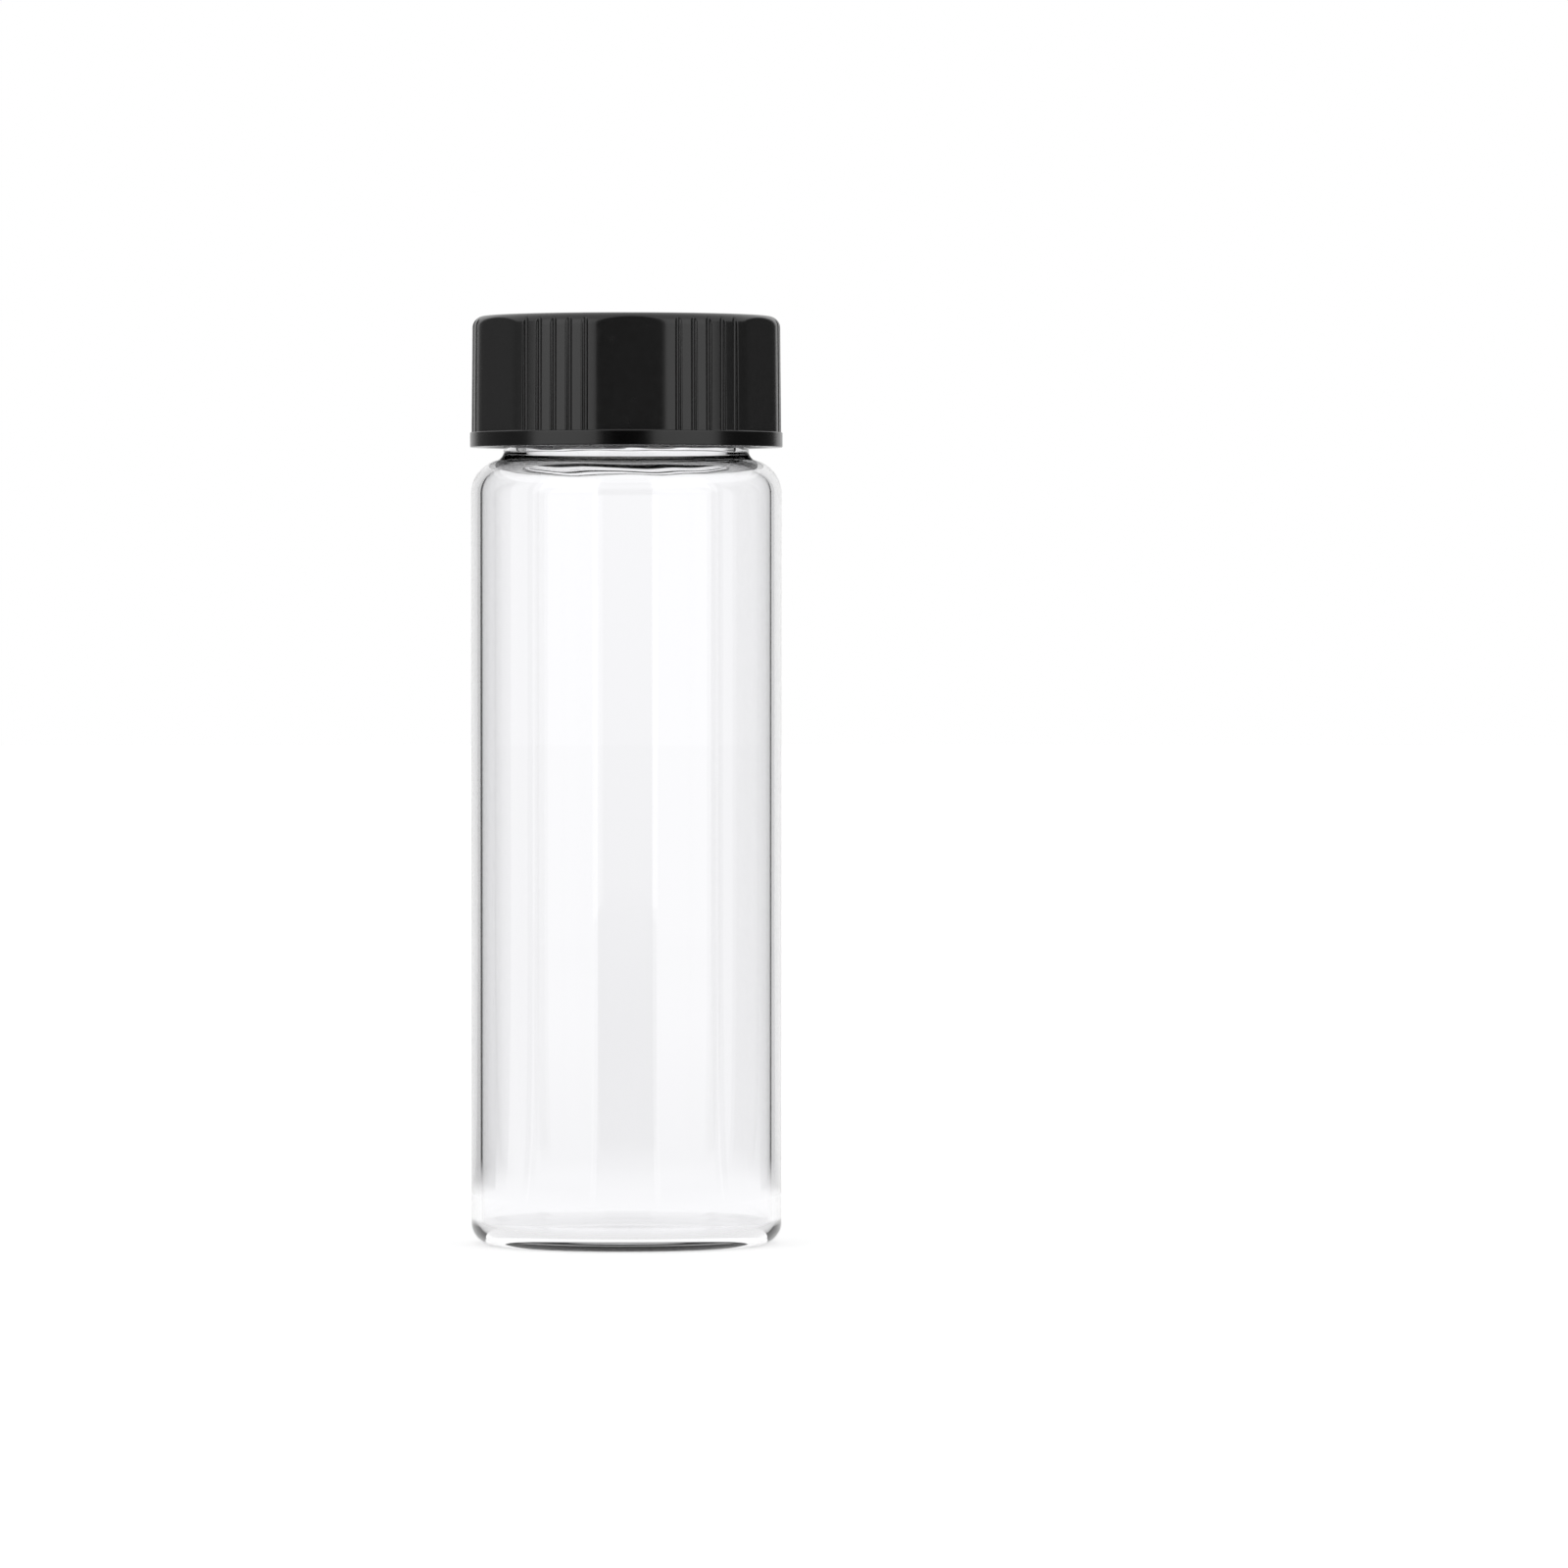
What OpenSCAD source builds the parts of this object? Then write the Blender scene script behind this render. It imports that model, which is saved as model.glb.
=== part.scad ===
// Glass sample vial of about 30 ml with a moulded black screw cap.
// Millimetres. The vial stands on z = 0, with +Z up its axis.

/* [Glass body] */
// Outside diameter of the glass body
body_d = 26.8; // [24:0.1:34]
// Thickness of the body wall
wall_t = 0.95; // [0.6:0.05:1.4]
// Height of the glass, from the standing ring to the rim
glass_h = 77.4; // [50:0.1:120]
// Thickness of the floor
floor_t = 1.1; // [0.8:0.05:2]
// Outside radius of the heel, where the wall turns into the base
heel_r = 1.8; // [1:0.1:2]
// Inside radius of the heel
heel_in_r = 1; // [0.8:0.1:2]
// Radius of the hollow under the base
punt_r = 9.8; // [5:0.1:9.8]
// Depth of the hollow under the base
punt_h = 0.15; // [0.1:0.05:0.8]

/* [Shoulder and neck] */
// Outside radius of the shoulder
shoulder_r = 3; // [2.6:0.1:4.2]
// Inside radius of the shoulder
shoulder_in_r = 2.4; // [1:0.1:3]
// Height from the start of the shoulder to the rim
finish_h = 12.7; // [11.8:0.1:16]
// Outside diameter of the neck, at the root of the thread
neck_d = 21.2; // [18:0.1:22]
// Radius of the hollow corner between neck and shoulder
neck_fillet_r = 0.8; // [0.3:0.1:1.4]
// Thickness of the neck wall
neck_wall_t = 1.8; // [1.2:0.1:2.6]
// Radius where the neck bore opens into the shoulder
throat_r = 0.4; // [0.3:0.1:1.8]
// Radius of the fire-polished edges of the rim
rim_edge_r = 0.65; // [0.2:0.05:0.8]

/* [Thread] */
// Rise of the thread in one turn
pitch = 3.175; // [3:0.025:4]
// Height of the glass thread above the neck
thread_h = 1.2; // [0.8:0.05:1.5]
// Width of the glass thread at its root
thread_w = 2; // [1.4:0.1:2.2]
// Length of the glass thread in turns
thread_turns = 1.15; // [0.8:0.05:1.4]
// Distance from the rim down to the top of the thread
thread_drop = 1.2; // [0.6:0.1:2]
// Direction of the upper end of the thread, turning from +X
thread_start = 22; // [5:1:80]
// Height of the cap's thread above its bore
cap_thread_h = 0.95; // [0.6:0.05:1.1]
// Width of the cap's thread at its root
cap_thread_w = 1.2; // [0.8:0.1:1.4]
// Width of the cap's thread at its crest
cap_crest_w = 0.5; // [0.2:0.05:0.7]
// Length of the cap's thread in turns
cap_thread_turns = 1.25; // [0.8:0.05:1.3]
// Part of a turn by which the cap's thread runs on past the top of the glass thread
cap_thread_lead = 0.1; // [0:0.05:0.3]
// Free play between the flanks of the two threads
flank_gap = 0.15; // [0.05:0.05:0.25]
// Free play between the crest of the glass thread and the bore of the cap
crest_gap = 0.2; // [0.1:0.05:0.4]

/* [Cap] */
// Height of the cap
cap_h = 11.3; // [10.4:0.1:12]
// Thickness of the cap's wall, outside its bore
cap_wall_t = 1.35; // [1:0.05:2.5]
// Thickness of the cap's top
cap_top_t = 1.4; // [1:0.1:2]
// How far the cap's side leans in from bottom to top
cap_draft = 0.08; // [0:0.01:0.2]
// Radius of the cap's top edge
cap_edge_r = 1; // [0.4:0.1:1.3]
// Height of the plain band round the bottom of the cap
band_h = 1.3; // [0.6:0.1:3]
// How far the band stands out from the cap's side
band_out = 0.13; // [0.05:0.01:0.5]
// Radius of the band's edges
band_edge_r = 0.1; // [0.05:0.01:0.2]
// Bevel inside the mouth of the cap
mouth_bevel = 0.4; // [0.1:0.1:0.7]

/* [Grip of the cap] */
// Number of flat panels, with a group of flutes between each two
panels = 6; // [4:1:6]
// Width of a flat panel
panel_w = 5.5; // [3:0.1:6]
// Number of flutes in a group
flutes = 5; // [1:1:5]
// Angle from one flute to the next
flute_step = 6.25; // [4:0.25:6.75]
// Width of a flute
flute_w = 0.56; // [0.3:0.02:0.8]
// Depth of a flute
flute_depth = 0.3; // [0.1:0.02:0.4]
// Direction that the first panel faces, turning from +X
first_panel = -87; // [-180:0.5:180]

/* [Liner] */
// Thickness of the sealing disc
liner_t = 1.2; // [0.6:0.1:2]
// Free play round the sealing disc
liner_gap = 0.25; // [0.1:0.05:0.5]

/* [Hidden] */

$fn = 96;
ball_fn = 720;           // facets of the wide ball that hollows the base
past = 1;                // how far a cutter runs on past what it cuts
section_step = 10;       // degrees between two sections of a thread
fade = 40;               // degrees in which a thread grows out of its wall
sink = 0.15;             // how deep a thread's widest line lies in its wall
root = 0.4;              // how deep a thread's root lies in its wall

body_r = body_d / 2;
inner_r = body_r - wall_t;
neck_r = neck_d / 2;
bore_r = neck_r - neck_wall_t;
shoulder_z = glass_h - finish_h;
// The shoulder's inside radius is limited by the room between the body's wall and
// the throat.
shoulder_fillet_r = min(shoulder_in_r, inner_r - bore_r - throat_r);
ceiling_z = shoulder_z + shoulder_fillet_r;
ceiling_r = inner_r - shoulder_fillet_r;

// The shoulder's arc and the neck's fillet touch on the line between their centres.
shoulder_c = body_r - shoulder_r;
fillet_c = neck_r + neck_fillet_r;
reach = shoulder_r + neck_fillet_r;
reach_x = max(0, fillet_c - shoulder_c);
reach_z = sqrt(reach * reach - reach_x * reach_x);
fillet_z = shoulder_z + reach_z;
touch = [fillet_c - neck_fillet_r * reach_x / reach, fillet_z - neck_fillet_r * reach_z / reach];

// Radius of the ball that a shallow dish belongs to.
punt_ball_r = (punt_r * punt_r + punt_h * punt_h) / (2 * punt_h);

cap_bore_r = neck_r + thread_h + crest_gap;
cap_r = cap_bore_r + cap_wall_t;
cap_top_r = cap_r - cap_draft;
band_r = cap_r + band_out;
seat_z = glass_h + liner_t;
cap_top_z = seat_z + cap_top_t;
cap_z = cap_top_z - cap_h;
band_z = cap_z + band_h;
liner_r = cap_bore_r - liner_gap;

panel_turn = 360 / panels;
panel_dist = sqrt(cap_r * cap_r - panel_w * panel_w / 4);
flute_r = (flute_w * flute_w / 4 + flute_depth * flute_depth) / (2 * flute_depth);
flute_dist = cap_r - flute_depth + flute_r;

// The cap's thread hangs under the glass thread. They come nearest at the cap's
// crest, where the glass thread is this wide.
near_sin = (thread_h + crest_gap - cap_thread_h) / thread_h;
near_half_w = thread_w / 2 * sqrt(1 - near_sin * near_sin);
thread_offset = near_half_w + cap_crest_w / 2 + flank_gap;
thread_top_z = glass_h - thread_drop - thread_w / 2;
cap_thread_top_z = thread_top_z - thread_offset + pitch * cap_thread_lead;

// A thread's size at an angle from its end: 0 at either end, 1 where it is full.
function growth(a, turns) = min(1, a / fade, (360 * turns - a) / fade);

// Sections of the threads, as [radius, height] points that run clockwise where
// radius points right. The glass bead is round, the cap's ridge is blunt.
function bead(size) = concat(
    [[neck_r - root, thread_w / 2]],
    [for (a = [90 : -30 : -90])
        [neck_r - sink + (thread_h + sink) * size * cos(a), thread_w / 2 * sin(a)]],
    [[neck_r - root, -thread_w / 2]]);

function blunt_ridge(size) =
    let (crest_r = cap_bore_r + sink - (cap_thread_h + sink) * size)
    [[cap_bore_r + root, -cap_thread_w / 2],
     [cap_bore_r + sink, -cap_thread_w / 2],
     [crest_r, -cap_crest_w / 2],
     [crest_r, cap_crest_w / 2],
     [cap_bore_r + sink, cap_thread_w / 2],
     [cap_bore_r + root, cap_thread_w / 2]];

// The outlines along a thread, one for every step from its upper end.
function step_count(turns) = ceil(360 * turns / section_step);
function steps(turns) = [for (i = [0 : step_count(turns)]) 360 * turns * i / step_count(turns)];

// A ridge wound down from top_z, with one outline for each of its steps.
module wound_ridge(outlines, turns, top_z, top_angle) {
    angles = steps(turns);
    n = len(outlines);
    m = len(outlines[0]);
    points = [for (i = [0 : n - 1], p = outlines[i])
        let (a = top_angle - angles[i])
        [p[0] * cos(a), p[0] * sin(a), top_z - pitch * angles[i] / 360 + p[1]]];
    sides = [for (i = [0 : n - 2], k = [0 : m - 1])
        let (a = i * m + k, b = i * m + (k + 1) % m)
        each [[a, b, b + m], [a, b + m, a + m]]];
    ends = [[for (k = [m - 1 : -1 : 0]) k], [for (k = [0 : m - 1]) (n - 1) * m + k]];
    polyhedron(points, concat(sides, ends));
}

module glass_outline() {
    // Heel and body
    translate([body_r - heel_r, heel_r]) circle(heel_r);
    square([body_r - heel_r, shoulder_z]);
    translate([0, heel_r]) square([body_r, shoulder_z - heel_r]);
    // Shoulder, and the hollow corner that leads up to the neck
    translate([shoulder_c, shoulder_z]) circle(shoulder_r);
    square([shoulder_c, shoulder_z + shoulder_r]);
    difference() {
        polygon([[0, shoulder_z], touch, [fillet_c, fillet_z], [0, fillet_z]]);
        translate([fillet_c, fillet_z]) circle(neck_fillet_r);
    }
    // Neck and rim
    translate([0, shoulder_z]) square([neck_r, finish_h - rim_edge_r]);
    translate([neck_r - rim_edge_r, glass_h - rim_edge_r]) circle(rim_edge_r);
    translate([0, shoulder_z]) square([neck_r - rim_edge_r, finish_h]);
}

module glass_inside() {
    difference() {
        union() {
            // Chamber
            translate([inner_r - heel_in_r, floor_t + heel_in_r]) circle(heel_in_r);
            translate([0, floor_t]) square([inner_r - heel_in_r, shoulder_z - floor_t]);
            translate([0, floor_t + heel_in_r])
                square([inner_r, shoulder_z - floor_t - heel_in_r]);
            // Shoulder
            translate([ceiling_r, shoulder_z]) circle(shoulder_fillet_r);
            translate([0, shoulder_z]) square([ceiling_r, shoulder_fillet_r]);
            // Throat and bore
            difference() {
                translate([0, ceiling_z]) square([bore_r + throat_r, throat_r]);
                translate([bore_r + throat_r, ceiling_z + throat_r]) circle(throat_r);
            }
            translate([0, shoulder_z]) square([bore_r, finish_h + past]);
            // Rounded inner edge of the rim
            difference() {
                translate([0, glass_h - rim_edge_r]) square([bore_r + rim_edge_r, rim_edge_r + past]);
                translate([bore_r + rim_edge_r, glass_h - rim_edge_r]) circle(rim_edge_r);
            }
        }
        // The floor swells over the hollow in the base.
        translate([0, floor_t + punt_h - punt_ball_r]) circle(punt_ball_r, $fn = ball_fn);
    }
}

// One piece of tube, formed hot into base, shoulder, neck and thread.
module glass_vial() {
    color("aliceblue", 0.35)
    union() {
        rotate_extrude() difference() {
            glass_outline();
            glass_inside();
            translate([0, punt_h - punt_ball_r]) circle(punt_ball_r, $fn = ball_fn);
        }
        wound_ridge([for (a = steps(thread_turns)) bead(growth(a, thread_turns))],
            thread_turns, thread_top_z, thread_start);
    }
}

module cap_side() {
    translate([0, cap_z])
        polygon([[0, 0], [cap_r, 0], [cap_top_r, cap_h - cap_edge_r], [0, cap_h - cap_edge_r]]);
    translate([cap_top_r - cap_edge_r, cap_top_z - cap_edge_r]) circle(cap_edge_r);
    translate([0, cap_z]) square([cap_top_r - cap_edge_r, cap_h]);
}

module cap_band() {
    translate([0, cap_z]) {
        square([band_r - band_edge_r, band_h]);
        translate([0, band_edge_r]) square([band_r, band_h - 2 * band_edge_r]);
        for (z = [band_edge_r, band_h - band_edge_r])
            translate([band_r - band_edge_r, z]) circle(band_edge_r);
    }
}

module cap_inside() {
    translate([0, cap_z]) polygon([
        [0, -past], [cap_bore_r + mouth_bevel, -past], [cap_bore_r + mouth_bevel, 0],
        [cap_bore_r, mouth_bevel], [cap_bore_r, seat_z - cap_z], [0, seat_z - cap_z]]);
}

// Flats and flutes, cut into the side from the band up and out through the top edge.
module cap_grip() {
    cut_h = cap_h - band_h + past;
    for (i = [0 : panels - 1]) rotate([0, 0, first_panel + i * panel_turn]) {
        translate([panel_dist, -panel_w, band_z]) cube([cap_r, 2 * panel_w, cut_h]);
        for (k = [0 : flutes - 1])
            rotate([0, 0, panel_turn / 2 + (k - (flutes - 1) / 2) * flute_step])
                translate([flute_dist, 0, band_z]) cylinder(r = flute_r, h = cut_h, $fn = 24);
    }
}

// One moulding, with its thread inside.
module screw_cap() {
    color("#1c1c1c")
    union() {
        difference() {
            union() {
                difference() {
                    rotate_extrude() cap_side();
                    cap_grip();
                }
                rotate_extrude() cap_band();
            }
            rotate_extrude() cap_inside();
        }
        wound_ridge([for (a = steps(cap_thread_turns)) blunt_ridge(growth(a, cap_thread_turns))],
            cap_thread_turns, cap_thread_top_z, thread_start + 360 * cap_thread_lead);
    }
}

// Punched disc of foam, held in the cap above its thread.
module cap_liner() {
    color("whitesmoke")
    translate([0, 0, glass_h]) cylinder(r = liner_r, h = liner_t);
}

glass_vial();
screw_cap();
cap_liner();
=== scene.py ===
# %% [markdown]
# # A clear glass sample vial with a black screw cap
# A sample vial is three pieces: a tube of borosilicate glass formed hot into a bottle, a moulded
# black cap, and a disc of foam inside the cap that seals on the rim. All three are round, so each
# is made here as one skin of points: a profile, turned once round the axis, with the thread, the
# flats and the flutes worked into it. The lesson is mostly about clear glass, which has no colour of
# its own and shows only what stands round it.

import bpy
from math import asin, atan2, ceil, cos, degrees, pi, radians, sin, sqrt, tan
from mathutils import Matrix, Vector


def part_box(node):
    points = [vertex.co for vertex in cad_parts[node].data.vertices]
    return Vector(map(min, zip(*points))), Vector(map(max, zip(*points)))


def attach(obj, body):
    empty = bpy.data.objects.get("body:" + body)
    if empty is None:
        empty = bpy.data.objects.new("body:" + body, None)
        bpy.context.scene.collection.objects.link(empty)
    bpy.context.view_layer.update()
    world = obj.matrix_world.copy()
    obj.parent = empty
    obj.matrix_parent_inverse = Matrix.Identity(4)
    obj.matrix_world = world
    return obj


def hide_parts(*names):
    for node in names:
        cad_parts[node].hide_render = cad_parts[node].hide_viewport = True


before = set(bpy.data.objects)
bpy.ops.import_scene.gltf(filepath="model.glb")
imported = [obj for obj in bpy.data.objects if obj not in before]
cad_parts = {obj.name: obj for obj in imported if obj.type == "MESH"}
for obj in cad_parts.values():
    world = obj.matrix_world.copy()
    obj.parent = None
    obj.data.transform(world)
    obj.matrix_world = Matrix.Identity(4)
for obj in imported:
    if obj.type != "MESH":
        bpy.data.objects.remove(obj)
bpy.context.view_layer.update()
MM = 0.001

# %% [markdown]
# ## Camera
# The camera stands a little over 80 centimetres away with a long lens, which keeps the vial's sides
# parallel. At two thirds of the vial's height it sees the cap's foot almost edge on and the floor
# of the vial from just above. It stands to the right of the vial and looks straight ahead, so the
# vial comes out left of the middle.

# %% Camera
LENS = 224
CAMERA_DISTANCE = 842 * MM
CAMERA_HEIGHT = 55.1 * MM
CAMERA_SIDE = 13.6 * MM
CAMERA_PITCH = -1.05

camera_data = bpy.data.cameras.new("camera")
camera_data.lens = LENS
camera_data.clip_start = 10 * MM
camera_data.clip_end = 20
camera = bpy.data.objects.new("camera", camera_data)
camera.location = (CAMERA_SIDE, -CAMERA_DISTANCE, CAMERA_HEIGHT)
camera.rotation_euler = (radians(90 + CAMERA_PITCH), 0, 0)
bpy.context.scene.collection.objects.link(camera)
bpy.context.scene.camera = camera
print("lens", LENS, "mm, distance", round(CAMERA_DISTANCE / MM), "mm")

# %% [markdown]
# ## A profile and a skin
# A turned piece could be made with the Screw modifier, but then nothing can change on the way round.
# Here the profile is a list of points, with radius and height in millimetres, and the skin sets
# every point out at every angle. A piece may bend the radius at each angle, which is how the
# thread and the flutes come into one closed surface without any boolean cuts.

# %% Profile helpers
def arc(centre, radius, start, end, steps):
    """Points on an arc, in degrees, with 0 pointing outwards and 90 up."""
    angles = [radians(start + (end - start) * i / steps) for i in range(steps + 1)]
    return [(centre[0] + radius * cos(a), centre[1] + radius * sin(a)) for a in angles]


def straight(start, end, gap=0.0, hold=0.06):
    """Points inside a straight stretch: one close to each end, to hold its shading flat, and
    others no further apart than gap."""
    length = sqrt((end[0] - start[0]) ** 2 + (end[1] - start[1]) ** 2)
    steps = ceil(length / gap) if gap else 1
    parts = [hold / length] + [i / steps for i in range(1, steps)] + [1 - hold / length]
    return [(start[0] + (end[0] - start[0]) * t, start[1] + (end[1] - start[1]) * t) for t in parts]


def skin(name, profile, angles, bend=None):
    """A closed piece whose profile starts and ends on the axis. bend(radius, z, angle) may return
    another radius and height."""
    points = []
    faces = []
    n = len(angles)
    for r, z in profile[1:-1]:
        for angle in angles:
            far, high = bend(r, z, angle) if bend else (r, z)
            points.append((far * cos(angle) * MM, far * sin(angle) * MM, high * MM))
    for i in range(len(profile) - 3):
        for k in range(n):
            a, b = i * n + k, i * n + (k + 1) % n
            faces.append((a, b, b + n, a + n))
    first, last = len(points), len(points) + 1
    points += [(0, 0, profile[0][1] * MM), (0, 0, profile[-1][1] * MM)]
    top = (len(profile) - 3) * n
    for k in range(n):
        faces.append((first, (k + 1) % n, k))
        faces.append((last, top + k, top + (k + 1) % n))
    mesh = bpy.data.meshes.new(name)
    mesh.from_pydata(points, [], faces)
    mesh.polygons.foreach_set("use_smooth", [True] * len(faces))
    mesh.validate()
    piece = bpy.data.objects.new(name, mesh)
    bpy.context.scene.collection.objects.link(piece)
    print(name, len(points), "points,", 2 * n * (len(profile) - 2), "triangles")
    return piece


def even_angles(count):
    return [2 * pi * k / count for k in range(count)]


def ease(t):
    """Runs smoothly from 0 to 1 as t goes from 0 to 1."""
    t = max(0.0, min(1.0, t))
    return t * t * (3 - 2 * t)


# %% [markdown]
# ## Sizes
# The CAD node gives the outside of the glass. The rest are the sizes of the neck and thread that
# the CAD model has too: a standard 24-400 finish, which any cap of that size fits.

# %% Glass sizes, in millimetres
glass_low, glass_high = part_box("glass_vial")
BODY_R = glass_high.x / MM
RIM_Z = glass_high.z / MM
WALL = 0.95
FLOOR = 1.1
HEEL_R = 1.8
HEEL_IN_R = 1.0
PUNT_R = 9.8
PUNT_H = 0.15
SHOULDER_R = 3.0
SHOULDER_IN_R = 2.4
SHOULDER_Z = RIM_Z - 12.7
NECK_R = 10.6
NECK_WALL = 1.8
NECK_FILLET = 0.8
THROAT_R = 0.4
RIM_EDGE = 0.65

PITCH = 3.175
THREAD_H = 1.2
THREAD_W = 2.0
THREAD_TURNS = 1.15
THREAD_TOP = RIM_Z - 1.2 - THREAD_W / 2
THREAD_START = 22
THREAD_FLAT = 0.3
print("glass", round(2 * BODY_R, 2), "mm across and", round(RIM_Z, 2), "mm high")

# %% [markdown]
# ## The glass
# The real vial starts as a straight tube. One end is melted shut and pressed to a foot with a
# shallow hollow, the other is softened and rolled between wheels, which draw the shoulder in and
# press the thread, and the rim is left to round itself in the flame. Glass bends light at every
# surface, so both the outside and the inside are made, with the real wall between them: it is the
# inner wall that draws the dark line beside each edge.

# %% Glass profile
def dish(edge_r, edge_z, rise, steps):
    """Points from the axis out to edge_r on a shallow ball that is rise higher on the axis."""
    ball = (edge_r ** 2 + rise ** 2) / (2 * rise)
    radii = [edge_r * i / steps for i in range(steps + 1)]
    return [(r, edge_z + rise - ball + sqrt(ball ** 2 - r ** 2)) for r in radii]


def glass_profile():
    inner = BODY_R - WALL
    bore = NECK_R - NECK_WALL
    # The shoulder's arc and the neck's fillet touch on the line between their centres.
    shoulder = (BODY_R - SHOULDER_R, SHOULDER_Z)
    reach = SHOULDER_R + NECK_FILLET
    run = NECK_R + NECK_FILLET - shoulder[0]
    rise = sqrt(reach ** 2 - run ** 2)
    fillet = (NECK_R + NECK_FILLET, SHOULDER_Z + rise)
    touch = degrees(atan2(rise, run))
    ceiling = SHOULDER_Z + SHOULDER_IN_R
    heel = (BODY_R - HEEL_R, HEEL_R)
    inner_heel = (inner - HEEL_IN_R, FLOOR + HEEL_IN_R)
    corner = (inner - SHOULDER_IN_R, SHOULDER_Z)
    throat = (bore + THROAT_R, ceiling + THROAT_R)
    lip = (NECK_R - RIM_EDGE, RIM_Z - RIM_EDGE)
    inner_lip = (bore + RIM_EDGE, RIM_Z - RIM_EDGE)

    p = dish(PUNT_R, 0, PUNT_H, 10)
    p += straight(p[-1], (heel[0], 0))
    p += arc(heel, HEEL_R, -90, 0, 18)
    p += straight(p[-1], (BODY_R, SHOULDER_Z), 6)
    p += arc(shoulder, SHOULDER_R, 0, touch, 18)
    p += arc(fillet, NECK_FILLET, 180 + touch, 180, 10)[1:]
    p += straight(p[-1], (NECK_R, lip[1]), 0.13)
    p += arc(lip, RIM_EDGE, 0, 90, 10)
    p += straight(p[-1], (inner_lip[0], RIM_Z))
    p += arc(inner_lip, RIM_EDGE, 90, 180, 10)
    p += straight(p[-1], (bore, throat[1] + 4), 2)
    p += straight(p[-1], (bore, throat[1]), 0.3)
    p += arc(throat, THROAT_R, 180, 270, 12)
    p += straight(p[-1], (corner[0], ceiling), hold=0.03)
    p += arc(corner, SHOULDER_IN_R, 90, 0, 16)
    p += straight(p[-1], (inner, inner_heel[1]), 6)
    p += arc(inner_heel, HEEL_IN_R, 0, -90, 16)
    floor_edge = min(PUNT_R, inner_heel[0] - 0.2)
    p += straight(p[-1], (floor_edge, FLOOR))
    p += reversed(dish(floor_edge, FLOOR, PUNT_H, 10))
    return p


# %% [markdown]
# The thread is a round bead that runs down and round the neck, and sinks back into the glass at both
# ends. At any angle its centre line has one height for each turn, so how far the bead lifts a
# point depends only on that point's distance from the nearest turn.

# %% Thread
FADE = radians(40)


def thread_lift(z, angle, start, turns, top, height, width, flat):
    """How far a thread stands out at a height and an angle. flat is the part of its half width
    that is level at the crest."""
    lift = 0.0
    wound = (radians(start) - angle) % (2 * pi)
    while wound <= 2 * pi * turns:
        grown = ease(min(wound, 2 * pi * turns - wound) / FADE)
        away = abs(z - (top - PITCH * wound / (2 * pi))) / (width / 2)
        lift = max(lift, height * grown * (1 - ease((away - flat) / (1.05 - flat))))
        wound += 2 * pi
    return lift


# %% [markdown]
# The shoulder is shaped while the glass is soft, against tools that touch only its outside. Inside,
# where shoulder and neck meet, the glass gathers into a thick ring that stays a little uneven. A
# few waves of different lengths round that ring, a hundredth or two of a millimetre high, break
# what it bends into streaks.

# %% Uneven shoulder
WAVES = ((3, 0.5, 0.9), (7, 0.3, 2.3), (12, 0.2, 4.1), (19, 0.12, 0.4))
WAVE_IN = 0.012
WAVE_OUT = 0.02
WAVE_IN_START = 0.4
WAVE_IN_END = 4.5
WAVE_OUT_START = 2.0
WAVE_OUT_END = 4.2
DRIFT = 3.0


def uneven(angle, z):
    """A value near 0 that waves round the neck, and drifts slowly with height."""
    return sum(size * sin(count * angle + start + DRIFT * z) for count, size, start in WAVES)


def glass_bend(r, z, angle):
    """Lifts the thread off the neck and waves the shoulder. rise is the height above the line
    where the straight body ends."""
    rise = z - SHOULDER_Z
    if abs(r - NECK_R) < 0.001 and z <= RIM_Z - RIM_EDGE:
        bead = thread_lift(z, angle, THREAD_START, THREAD_TURNS, THREAD_TOP, THREAD_H, THREAD_W,
                           THREAD_FLAT)
        return r + bead + WAVE_OUT * uneven(angle, z) * ease(WAVE_OUT_END - rise), z
    if rise < WAVE_IN_START or rise > WAVE_IN_END:
        return r, z
    corner_r = BODY_R - WALL - SHOULDER_IN_R
    if r < corner_r + 0.1 or sqrt((r - corner_r) ** 2 + rise ** 2) < SHOULDER_IN_R + 0.2:
        held = ease((rise - WAVE_IN_START) / 1.5) * ease((WAVE_IN_END - rise) / 1.5)
        wave = WAVE_IN * held * uneven(angle, z)
        return r + 0.5 * wave, z + wave
    held = ease((rise - WAVE_OUT_START) / 1.2)
    return r + WAVE_OUT * held * uneven(angle + 0.3, z), z


glass = skin("glass_vial_clear", glass_profile(), even_angles(256), glass_bend)
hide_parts("glass_vial")
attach(glass, "vial")

# %% [markdown]
# ## The cap
# Black caps of this kind are pressed in a hot steel tool from a phenolic compound. The tool leaves a
# plain band round the foot, six flat panels to hold it by, five narrow flutes between each two
# panels, and no sharp edge anywhere. The outline seen from above is worked out for every angle, and
# a soft minimum of the round side, the flats and the flutes rounds each edge where two of them meet.

# %% Cap sizes, in millimetres
cap_low, cap_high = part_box("screw_cap")
CAP_Z = cap_low.z / MM
CAP_TOP = cap_high.z / MM
CAP_BORE_R = 12.0
CAP_R = 13.35
CAP_TOP_R = 13.27
CAP_EDGE_R = 1.0
CAP_SEAT = CAP_TOP - 1.4
MOUTH_BEVEL = 0.4
BAND_R = CAP_R + 0.13
BAND_TOP = CAP_Z + 1.3
BAND_EDGE = 0.1

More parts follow.
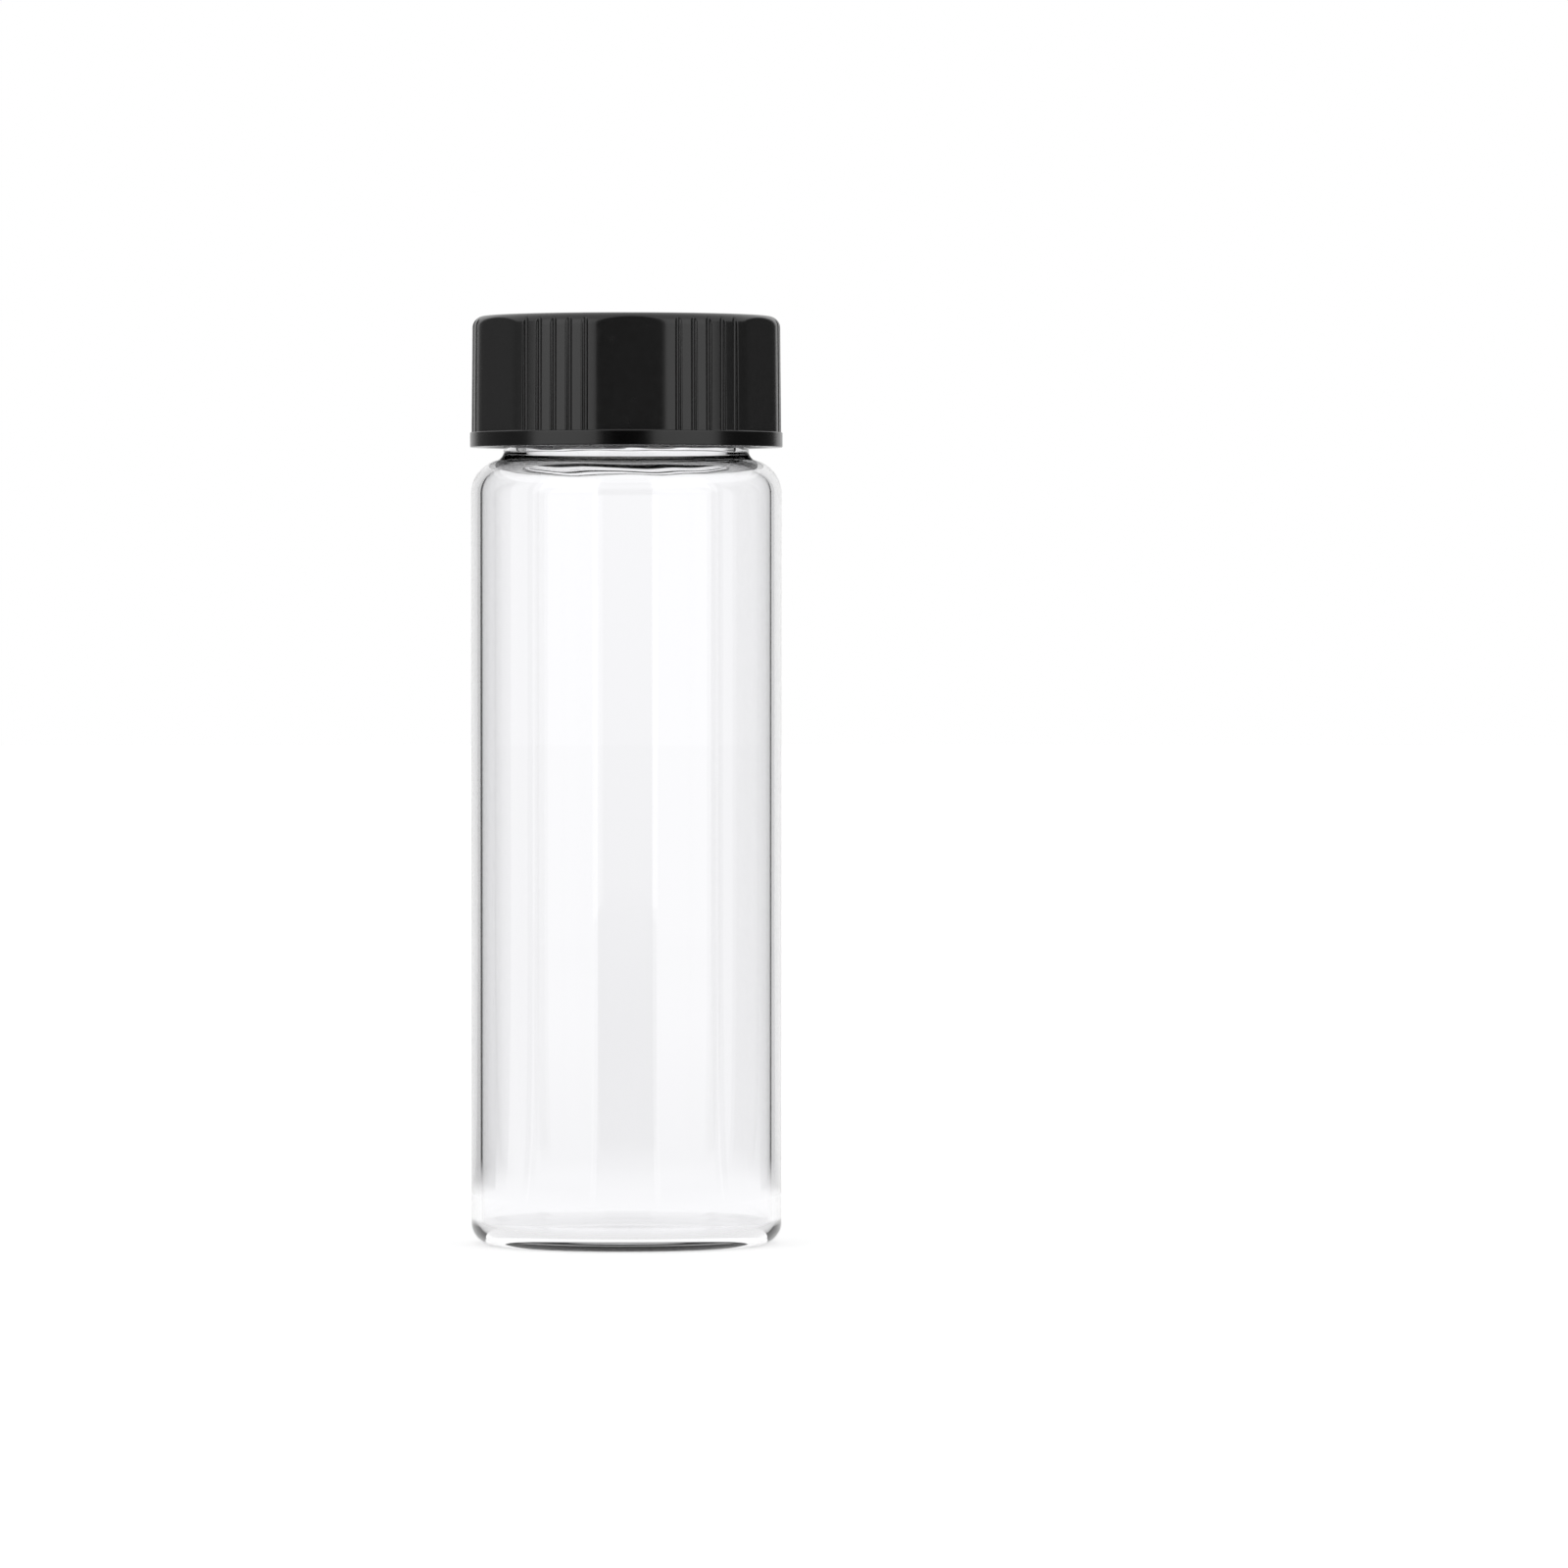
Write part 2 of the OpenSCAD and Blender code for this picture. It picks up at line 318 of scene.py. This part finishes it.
PANELS = 6
PANEL_W = 5.5
PANEL_TURN = 2 * pi / PANELS
FIRST_PANEL = radians(-87)
PANEL_EDGE = asin(PANEL_W / 2 / CAP_R)
PANEL_DISTANCE = CAP_R * cos(PANEL_EDGE)
FLUTES = 5
FLUTE_STEP = radians(6.25)
FLUTE_HALF_W = 0.28
FLUTE_DEPTH = 0.3
MOULD_ROUND = 0.1
FLUTE_PLACES = [(k - (FLUTES - 1) / 2) * FLUTE_STEP for k in range(FLUTES)]

CAP_THREAD_TOP = 74.19
CAP_THREAD_START = 58
CAP_THREAD_TURNS = 1.25
CAP_THREAD_H = 0.95
CAP_THREAD_W = 1.2
CAP_THREAD_FLAT = 0.4


# %% Cap outline
def soft_min(a, b, blend):
    """The smaller of two values, rounded where they come within blend of each other."""
    near = max(0.0, blend - abs(a - b)) / blend
    return min(a, b) - near * near * blend / 4


def grip_radius(side, angle):
    """The cap's outline at an angle, where its plain side would have this radius."""
    from_panel = (angle - FIRST_PANEL + PANEL_TURN / 2) % PANEL_TURN - PANEL_TURN / 2
    lean = CAP_R - max(side, CAP_TOP_R)
    radius = soft_min(side, (PANEL_DISTANCE - lean) / cos(from_panel), MOULD_ROUND)
    from_group = (angle - FIRST_PANEL) % PANEL_TURN - PANEL_TURN / 2
    away = min(abs(from_group - place) for place in FLUTE_PLACES) * CAP_R / FLUTE_HALF_W
    if away < 1.6:
        hollow = sqrt(1 - away ** 2) if away < 1 else 3 * (1 - away)
        radius = soft_min(radius, CAP_R - FLUTE_DEPTH * hollow, MOULD_ROUND)
    return radius


def grip_angles():
    """Angles for the cap's columns: close together where a flute or a panel's edge is."""
    marks = []
    for panel in range(PANELS):
        start = FIRST_PANEL + panel * PANEL_TURN
        for place in FLUTE_PLACES:
            marks += [start + PANEL_TURN / 2 + place + radians(0.25) * i for i in range(-7, 8)]
        for edge in (-PANEL_EDGE, PANEL_EDGE):
            marks += [start + edge + radians(0.4) * i for i in range(-4, 5)]
    marks = sorted(mark % (2 * pi) for mark in marks)
    filled = []
    for mark, following in zip(marks, marks[1:] + [marks[0] + 2 * pi]):
        parts = ceil((following - mark) / radians(1.7))
        filled += [mark + (following - mark) * i / parts for i in range(parts)]
    return filled


# %% [markdown]
# The cap's skin runs from the seat inside the top, down the bore, round the foot, up the side
# and over the edge. Only the bore is bent by the thread, and only the side above the band by the
# flats and flutes, which run out through the rounded edge as they do on the moulding.

# %% Cap skin
def cap_profile():
    foot = BAND_R - BAND_EDGE
    thread_low = CAP_THREAD_TOP - CAP_THREAD_TURNS * PITCH - CAP_THREAD_W
    thread_high = CAP_THREAD_TOP + CAP_THREAD_W
    edge = (CAP_TOP_R - CAP_EDGE_R, CAP_TOP - CAP_EDGE_R)
    p = [(0, CAP_SEAT), (6, CAP_SEAT)]
    p += straight(p[-1], (CAP_BORE_R, CAP_SEAT))
    p += [(CAP_BORE_R, CAP_SEAT)]
    p += straight(p[-1], (CAP_BORE_R, thread_high))
    p += straight((CAP_BORE_R, thread_high), (CAP_BORE_R, thread_low), 0.13)
    p += [(CAP_BORE_R, CAP_Z + MOUTH_BEVEL)]
    p += straight(p[-1], (CAP_BORE_R + MOUTH_BEVEL, CAP_Z))
    p += straight((CAP_BORE_R + MOUTH_BEVEL, CAP_Z), (foot, CAP_Z))
    p += arc((foot, CAP_Z + BAND_EDGE), BAND_EDGE, -90, 0, 5)
    p += straight((BAND_R, CAP_Z + BAND_EDGE), (BAND_R, BAND_TOP - BAND_EDGE))
    p += arc((foot, BAND_TOP - BAND_EDGE), BAND_EDGE, 0, 90, 5)
    p += [(CAP_R, BAND_TOP)]
    p += straight(p[-1], (CAP_TOP_R, edge[1]), 1.5)
    p += arc(edge, CAP_EDGE_R, 0, 90, 16)
    p += straight(p[-1], (6, CAP_TOP))
    p += [(6, CAP_TOP), (0, CAP_TOP)]
    return p


def cap_bend(r, z, angle):
    if abs(r - CAP_BORE_R) < 0.001 and z < CAP_SEAT - 0.1:
        lift = thread_lift(z, angle, CAP_THREAD_START, CAP_THREAD_TURNS, CAP_THREAD_TOP,
                           CAP_THREAD_H, CAP_THREAD_W, CAP_THREAD_FLAT)
        return r - lift, z
    if r > CAP_BORE_R + MOUTH_BEVEL and z >= BAND_TOP and r < BAND_R - BAND_EDGE:
        return grip_radius(r, angle), z
    return r, z


cap = skin("screw_cap_moulded", cap_profile(), grip_angles(), cap_bend)
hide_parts("screw_cap")
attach(cap, "cap")

# %% [markdown]
# ## The liner
# The liner is punched from a sheet of fine white foam and pressed into the cap. A punched edge is
# almost square, so only a hair of rounding is left on it.

# %% Liner
liner_low, liner_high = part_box("cap_liner")
LINER_R = liner_high.x / MM
LINER_LOW = liner_low.z / MM
LINER_HIGH = liner_high.z / MM
LINER_EDGE = 0.12


def liner_profile():
    rim = LINER_R - LINER_EDGE
    p = [(0, LINER_LOW), (6, LINER_LOW)]
    p += straight(p[-1], (rim, LINER_LOW))
    p += arc((rim, LINER_LOW + LINER_EDGE), LINER_EDGE, -90, 0, 6)
    p += straight(p[-1], (LINER_R, LINER_HIGH - LINER_EDGE))
    p += arc((rim, LINER_HIGH - LINER_EDGE), LINER_EDGE, 0, 90, 6)
    p += straight(p[-1], (6, LINER_HIGH))
    p += [(6, LINER_HIGH), (0, LINER_HIGH)]
    return p


liner = skin("cap_liner_foam", liner_profile(), even_angles(192))
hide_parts("cap_liner")
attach(liner, "liner")


# %% [markdown]
# ## Helpers for materials
# Colours are written as on a colour picker, in sRGB, and Blender works in linear light, so one
# function turns one into the other. Another adds a node, sets it and links it, so that a material
# reads as a list.

# %% Node helpers
def linear(hex_colour):
    """An sRGB hex colour as linear red, green, blue and alpha."""
    channels = [int(hex_colour[i:i + 2], 16) / 255 for i in (1, 3, 5)]
    return [c / 12.92 if c <= 0.04045 else ((c + 0.055) / 1.055) ** 2.4 for c in channels] + [1.0]


def add(tree, kind, settings=None, values=None, links=None):
    """Adds a node. settings are its own options, values its sockets, links what feeds them."""
    node = tree.nodes.new(kind)
    for key, value in (settings or {}).items():
        setattr(node, key, value)
    for key, value in (values or {}).items():
        node.inputs[key].default_value = value
    for key, source in (links or {}).items():
        tree.links.new(source, node.inputs[key])
    return node


def new_material(name):
    material = bpy.data.materials.new(name)
    material.use_nodes = True
    material.node_tree.nodes.clear()
    return material, material.node_tree


# %% [markdown]
# ## Borosilicate glass
# Glass is clear all through, so it is drawn by what it bends and mirrors. Its index of 1.47 is
# that of borosilicate. A drawn tube is never perfectly even: faint lines run down its length, a
# few millimetres apart and far shallower than a hair, and they stir the reflections a little.

# %% Borosilicate glass, drawn as tube and fire-polished
GLASS_IOR = 1.47
DRAW_LINE_SPACING = 2.4
DRAW_LINE_HEIGHT = 0.0012

glass_material, tree = new_material("borosilicate_glass_drawn_tube")
place = add(tree, "ShaderNodeTexCoord")
stretch = add(tree, "ShaderNodeMapping", values={"Scale": (1, 1, 0.02)},
              links={"Vector": place.outputs["Object"]})
lines = add(tree, "ShaderNodeTexNoise", values={"Scale": 1 / (DRAW_LINE_SPACING * MM), "Detail": 1.0},
            links={"Vector": stretch.outputs["Vector"]})
ripple = add(tree, "ShaderNodeBump", values={"Strength": 1.0, "Distance": DRAW_LINE_HEIGHT * MM},
             links={"Height": lines.outputs["Fac"]})
clear = add(tree, "ShaderNodeBsdfPrincipled",
            values={"Base Color": linear("#FEFEFF"), "Roughness": 0.0, "IOR": GLASS_IOR,
                    "Transmission Weight": 1.0},
            links={"Normal": ripple.outputs["Normal"]})
add(tree, "ShaderNodeOutputMaterial", links={"Surface": clear.outputs["BSDF"]})
glass.data.materials.append(glass_material)
print("glass: index", GLASS_IOR)

# %% [markdown]
# ## Black phenolic moulding
# Phenolic compound is black all through, with a skin that copies the tool. The tool's band is
# polished, and its sides are cut, so the moulding is duller there. Its colour is painted light and
# shade: the band is given a deeper black and the sides a lighter grey, for the lamps' light that
# reads on each. Height picks the finish and this painted grey, because the moulding has one
# material. A faint mottle in the gloss, under a millimetre across, is the wood flour that fills the
# compound.

# %% Black phenolic, compression moulded
SIDE_ROUGHNESS = 0.26
BAND_ROUGHNESS = 0.22
MOTTLE_SIZE = 0.7
TOOL_GRAIN = 0.12

cap_material, tree = new_material("black_phenolic_compression_moulded")
place = add(tree, "ShaderNodeTexCoord")
height = add(tree, "ShaderNodeSeparateXYZ", links={"Vector": place.outputs["Object"]})
above_band = add(tree, "ShaderNodeMapRange",
                 values={"From Min": (BAND_TOP - 0.06) * MM, "From Max": (BAND_TOP + 0.02) * MM},
                 links={"Value": height.outputs["Z"]})
finish = add(tree, "ShaderNodeMapRange", values={"To Min": BAND_ROUGHNESS, "To Max": SIDE_ROUGHNESS},
             links={"Value": above_band.outputs["Result"]})
mottle = add(tree, "ShaderNodeTexNoise", values={"Scale": 1 / (MOTTLE_SIZE * MM), "Detail": 3.0},
             links={"Vector": place.outputs["Object"]})
gloss = add(tree, "ShaderNodeMapRange", values={"To Min": -0.03, "To Max": 0.03},
            links={"Value": mottle.outputs["Fac"]})
roughness = add(tree, "ShaderNodeMath", {"operation": "ADD"},
                links={0: finish.outputs["Result"], 1: gloss.outputs["Result"]})
# The sides' grey, with the wood-flour mottle in it, is painted light: the lamps' light on the duller
# sides, set in the base colour.
mottled_painted_grey = add(tree, "ShaderNodeValToRGB", links={"Fac": mottle.outputs["Fac"]})
mottled_painted_grey.color_ramp.elements[0].color = linear("#151515")
mottled_painted_grey.color_ramp.elements[1].color = linear("#1A1A1A")
# The band's near black is painted shade, set against the sides' painted grey.
colour = add(tree, "ShaderNodeMix", {"data_type": "RGBA"}, values={6: linear("#020202")},
             links={0: above_band.outputs["Result"], 7: mottled_painted_grey.outputs["Color"]})
grain = add(tree, "ShaderNodeTexNoise", values={"Scale": 1 / (TOOL_GRAIN * MM), "Detail": 2.0},
            links={"Vector": place.outputs["Object"]})
skin_bump = add(tree, "ShaderNodeBump", values={"Strength": 0.25, "Distance": 0.001 * MM},
                links={"Height": grain.outputs["Fac"]})
black = add(tree, "ShaderNodeBsdfPrincipled", values={"IOR": 1.5},
            links={"Base Color": colour.outputs[2], "Roughness": roughness.outputs["Value"],
                   "Normal": skin_bump.outputs["Normal"]})
add(tree, "ShaderNodeOutputMaterial", links={"Surface": black.outputs["BSDF"]})
cap.data.materials.append(cap_material)
print("cap: roughness", BAND_ROUGHNESS, "on the band and", SIDE_ROUGHNESS, "above it")

# %% [markdown]
# ## Foam
# The liner's foam has closed cells of a tenth of a millimetre, too fine to see from here, so they
# are drawn three times that size. They leave it matt, and each cell is painted a little darker
# towards its hollow middle, as painted shade in the pit.

# %% Polyethylene foam, closed cell, punched
CELL_SIZE = 0.3

foam_material, tree = new_material("polyethylene_foam_punched")
place = add(tree, "ShaderNodeTexCoord")
cells = add(tree, "ShaderNodeTexVoronoi", values={"Scale": 1 / (CELL_SIZE * MM)},
            links={"Vector": place.outputs["Object"]})
# Painted shade: each cell is darker towards its middle, where the bump sinks into a pit.
cell_pit_painted_shade = add(tree, "ShaderNodeValToRGB", links={"Fac": cells.outputs["Distance"]})
cell_pit_painted_shade.color_ramp.elements[0].color = linear("#DAD9D4")
cell_pit_painted_shade.color_ramp.elements[1].color = linear("#EFEEEA")
pits = add(tree, "ShaderNodeBump", values={"Strength": 0.5, "Distance": 0.03 * MM},
           links={"Height": cells.outputs["Distance"]})
foam = add(tree, "ShaderNodeBsdfPrincipled", values={"Roughness": 0.85, "IOR": 1.5},
           links={"Base Color": cell_pit_painted_shade.outputs["Color"], "Normal": pits.outputs["Normal"]})
add(tree, "ShaderNodeOutputMaterial", links={"Surface": foam.outputs["BSDF"]})
liner.data.materials.append(foam_material)
print("liner: cells drawn", CELL_SIZE, "mm across")

# %% [markdown]
# ## The studio
# Clear glass is lit from behind: a white surround shines through it, and black cards just out of
# sight draw its edges as dark lines. This is called bright-field light. The world is the white
# surround for the camera, for mirrored rays and for rays that come through glass, while it
# lights the object itself only at a plain level.

# %% White surround
DIFFUSE_LEVEL = 0.7

world = bpy.data.worlds.new("white_surround")
world.use_nodes = True
bpy.context.scene.world = world
tree = world.node_tree
tree.nodes.clear()
path = add(tree, "ShaderNodeLightPath")
seen = add(tree, "ShaderNodeMath", {"operation": "MAXIMUM"},
           links={0: path.outputs["Is Camera Ray"], 1: path.outputs["Is Glossy Ray"]})
seen = add(tree, "ShaderNodeMath", {"operation": "MAXIMUM"},
           links={0: seen.outputs["Value"], 1: path.outputs["Is Transmission Ray"]})
level = add(tree, "ShaderNodeMapRange", values={"To Min": DIFFUSE_LEVEL, "To Max": 1.0},
            links={"Value": seen.outputs["Value"]})
white = add(tree, "ShaderNodeBackground", links={"Strength": level.outputs["Result"]})
white.inputs["Color"].default_value = linear("#FFFFFF")
add(tree, "ShaderNodeOutputWorld", links={"Surface": white.outputs["Background"]})


# %% [markdown]
# ## Floor
# The floor is pale and matt. A little light of its own brings it up to white, and since that is
# only added to what falls on it, the vial's soft shadow stays. Seen through the glass it is almost
# as white as the surround, with a painted shadow that darkens it close under the vial.

# %% Floor
FLOOR_RADIUS = 3000
FLOOR_GLOW = 0.42
FLOOR_THROUGH_LEVEL = 0.985
FLOOR_PAINTED_SHADOW_LEVEL = 0.8


def swept(name, outline, start, end, lean=0.0):
    """A stage piece swept round the vial from one bearing to another, in degrees, turning from
    behind the vial towards +X. Its outline is radius and height in millimetres. With a lean its
    sides run past the axis at that distance, as a ray does that leaves the vial near its edge."""
    steps = max(1, round((end - start) / 4))
    points = []
    for i in range(steps + 1):
        bearing = radians(start + (end - start) * i / steps)
        for r, z in outline:
            angle = bearing + (asin(lean / r) if lean else 0)
            points.append((r * sin(angle) * MM, r * cos(angle) * MM, z * MM))
    m = len(outline)
    faces = []
    for i in range(steps):
        for k in range(m - 1):
            a = i * m + k
            faces.append((a, a + m, a + m + 1, a + 1))
    mesh = bpy.data.meshes.new(name)
    mesh.from_pydata(points, [], faces)
    piece = bpy.data.objects.new(name, mesh)
    bpy.context.scene.collection.objects.link(piece)
    return piece


def distance_from_vial(tree):
    """The distance of a point on the stage from the vial's axis."""
    place = add(tree, "ShaderNodeTexCoord")
    return add(tree, "ShaderNodeVectorMath", {"operation": "LENGTH"},
               links={0: place.outputs["Object"]})


floor = swept("floor", [(0, 0), (FLOOR_RADIUS, 0)], 0, 360)
floor_material, tree = new_material("pale_floor")
path = add(tree, "ShaderNodeLightPath")
seen = add(tree, "ShaderNodeMath", {"operation": "MAXIMUM"},
           links={0: path.outputs["Is Camera Ray"], 1: path.outputs["Is Glossy Ray"]})
glow = add(tree, "ShaderNodeMath", {"operation": "MULTIPLY"}, values={1: FLOOR_GLOW},
           links={0: seen.outputs["Value"]})
pale = add(tree, "ShaderNodeBsdfPrincipled",
           values={"Base Color": linear("#F0F0F0"), "Roughness": 0.9,
                   "Emission Color": linear("#FFFFFF")},
           links={"Emission Strength": glow.outputs["Value"]})
away = distance_from_vial(tree)
# Painted shadow: the floor seen through the glass glows less close under the vial.
painted_shadow_under_vial = add(tree, "ShaderNodeMapRange",
            values={"From Min": 10 * MM, "From Max": 40 * MM,
                    "To Min": FLOOR_PAINTED_SHADOW_LEVEL, "To Max": FLOOR_THROUGH_LEVEL},
            links={"Value": away.outputs["Value"]})
through = add(tree, "ShaderNodeEmission", links={"Strength": painted_shadow_under_vial.outputs["Result"]})
either = add(tree, "ShaderNodeMixShader",
             links={0: path.outputs["Is Transmission Ray"],
                    1: pale.outputs["BSDF"], 2: through.outputs["Emission"]})
add(tree, "ShaderNodeOutputMaterial", links={"Surface": either.outputs["Shader"]})
floor.data.materials.append(floor_material)


# %% [markdown]
# ## Lights
# Two tall soft lights stand to the left and right, in front of the vial. They model the cap and lay
# a pale stripe down each side of the glass.

# %% Soft lights
def soft_light(name, bearing, distance, width, height, centre_z, power):
    """An area light at a bearing in degrees, turning from behind the vial towards +X."""
    data = bpy.data.lights.new(name, "AREA")
    data.shape = "RECTANGLE"
    data.size = width * MM
    data.size_y = height * MM
    data.energy = power
    lamp = bpy.data.objects.new(name, data)
    angle = radians(bearing)
    lamp.location = Vector((sin(angle) * distance, cos(angle) * distance, centre_z)) * MM
    from_vial = lamp.location - Vector((0, 0, centre_z * MM))
    lamp.rotation_euler = from_vial.to_track_quat("Z", "Y").to_euler()
    lamp.visible_camera = False
    bpy.context.scene.collection.objects.link(lamp)
    return lamp


LIGHT_DISTANCE = 800
LIGHT_HEIGHT = 900
LIGHT_SPAN = 52
for name, bearing, radiance in (("left_light", -134, 0.64), ("right_light", 134, 0.52)):
    width = 2 * LIGHT_DISTANCE * tan(radians(LIGHT_SPAN / 2))
    power = radiance * pi * width * LIGHT_HEIGHT * MM * MM
    soft_light(name, bearing, LIGHT_DISTANCE, width, LIGHT_HEIGHT, LIGHT_HEIGHT / 2, power)
    print(name, round(width), "mm wide,", round(power, 1), "W")


# %% [markdown]
# ## Cards
# The cards are seen only by rays that the cap or the glass sends to them: the camera looks straight
# through them and they cast no shadow. Black ones draw the dark line beside each edge, grey ones
# shade the glass towards its sides, and each is plain or fades along one direction. They lie on the
# floor and stand up at their far end. The floor close to the vial is kept clear and the cards come
# in slowly beyond it, so that they hardly show through the glass from above.

# %% One card
CARD_NEAR = 60
CARD_FAR = 720
CARD_H = 400
PLAIN = ("away", 0, 1)


def ground(far):
    """On the floor, from the clear space round the vial out to far. Each radius is half as far
    again as the one before it."""
    radii = [CARD_NEAR]
    while radii[-1] * 1.5 < far:
        radii.append(radii[-1] * 1.5)
    return [(r, 1) for r in radii + [far]]


def screen(far=CARD_FAR):
    """On the floor out to far, and upright there."""
    return ground(far) + [(far, CARD_H)]


def card(name, side, start, end, outline, fade, levels, mirrored, through, lean=0.0):
    """A card between two bearings on one side of the vial. Its level runs from levels[0] to
    levels[1] as the distance from the vial ("away"), the height ("up") or the bearing ("round")
    goes through the range that fade gives. mirrored and through say which rays see it."""
    low, high = sorted((start * side, end * side))
    piece = swept(name, outline, low, high, side * lean)
    material, tree = new_material(name)
    away = distance_from_vial(tree).outputs["Value"]
    place = add(tree, "ShaderNodeTexCoord")
    parts = add(tree, "ShaderNodeSeparateXYZ", links={"Vector": place.outputs["Object"]})
    out = add(tree, "ShaderNodeMath", {"operation": "ABSOLUTE"}, links={0: parts.outputs["X"]})
    bearing = add(tree, "ShaderNodeMath", {"operation": "ARCTAN2"},
                  links={0: out.outputs["Value"], 1: parts.outputs["Y"]})
    along, first, last = fade
    where = {"away": away, "up": parts.outputs["Z"], "round": bearing.outputs["Value"]}[along]
    unit = pi / 180 if along == "round" else MM
    level = add(tree, "ShaderNodeMapRange",
                values={"From Min": first * unit, "From Max": last * unit,
                        "To Min": levels[0], "To Max": levels[1]},
                links={"Value": where})
    clear = add(tree, "ShaderNodeMapRange",
                values={"From Min": CARD_NEAR * MM, "From Max": 2 * CARD_NEAR * MM,
                        "To Min": 1.0, "To Max": 0.0},
                links={"Value": away})
    shown = add(tree, "ShaderNodeMath", {"operation": "MAXIMUM"},
                links={0: level.outputs["Result"], 1: clear.outputs["Result"]})
    glow = add(tree, "ShaderNodeEmission", links={"Strength": shown.outputs["Value"]})
    add(tree, "ShaderNodeOutputMaterial", links={"Surface": glow.outputs["Emission"]})
    piece.data.materials.append(material)
    piece.visible_camera = False
    piece.visible_diffuse = False
    piece.visible_shadow = False
    piece.visible_glossy = mirrored
    piece.visible_transmission = through
    return piece


# %% [markdown]
# The cards follow each other round the vial, from nearly behind it (10 degrees) to straight in front
# (180). The dark line comes from the 4 degrees of the edge card alone: light that crosses the wall
# where it is seen almost edge on leaves the vial in that direction, well past the axis. Black at the
# front makes the broad, faint stripe down the middle. The two sides differ a little, because one
# side of a real studio is hardly ever as bright as the other.

# %% Cards round the vial
EDGE_R = 12.5
FRONT_FAR = 1000
FRONT_H = 90
LAMP_FAR = 3000
LAMP_SKIRT_R = 730
LAMP_SKIRT_H = 85

for side, rest, edge, dim in ((-1, 0.62, 0.0, 0.2), (1, 0.75, 0.95, 0.08)):
    # Seen through the glass
    card("backdrop_fade", side, 10, 34.5, screen(), ("round", 10, 34.5), (1.0, rest),
         True, True, EDGE_R)
    card("edge_card", side, 34.5, 38.5, screen(), PLAIN, (0, 0), False, True, EDGE_R)
    card("edge_rest", side, 38.5, 42, screen(), PLAIN, (0.35, 0.35), False, True, EDGE_R)
    card("behind_side_card", side, 42, 65, screen(), ("round", 45, 65), (0.4, edge),
         False, True, EDGE_R)
    card("side_card", side, 65, 81, screen(), PLAIN, (edge, edge), False, True)
    card("side_window", side, 81, 99, screen(), PLAIN, (0.85, 0.85), False, True)
    card("front_side_card", side, 99, 110, screen(), PLAIN, (0, 0), False, True)
    # The floor in front of each light, and the foot of the light
    card("lamp_floor", side, 110, 156, ground(LAMP_FAR), ("away", 60, 420), (0.55, 0.88),
         True, True)
    card("lamp_skirt", side, 110, 156, [(LAMP_SKIRT_R, 0), (LAMP_SKIRT_R, LAMP_SKIRT_H)],
         ("up", 0, LAMP_SKIRT_H), (0.92, 1.12), True, True)
    # Black in front, between the lights
    card("front_floor", side, 156, 180, ground(FRONT_FAR), ("away", 350, FRONT_FAR),
         (0.03, 0.45), False, True)
    card("front_screen", side, 156, 180, [(FRONT_FAR, 0), (FRONT_FAR, FRONT_H)],
         ("up", 0, FRONT_H), (0.5, 1.0), False, True)
    # Seen only in the outside of the glass and in the cap
    card("dim_side", side, 36, 108, screen(700), PLAIN, (dim, dim), True, False)
    card("dim_front", side, 160, 180, screen(560), PLAIN, (0.01, 0.01), True, False)
print("cards: clear floor to", CARD_NEAR, "mm, edge card from 34.5 to 38.5 degrees")

# %% Finish
bpy.context.scene.view_settings.view_transform = "Standard"
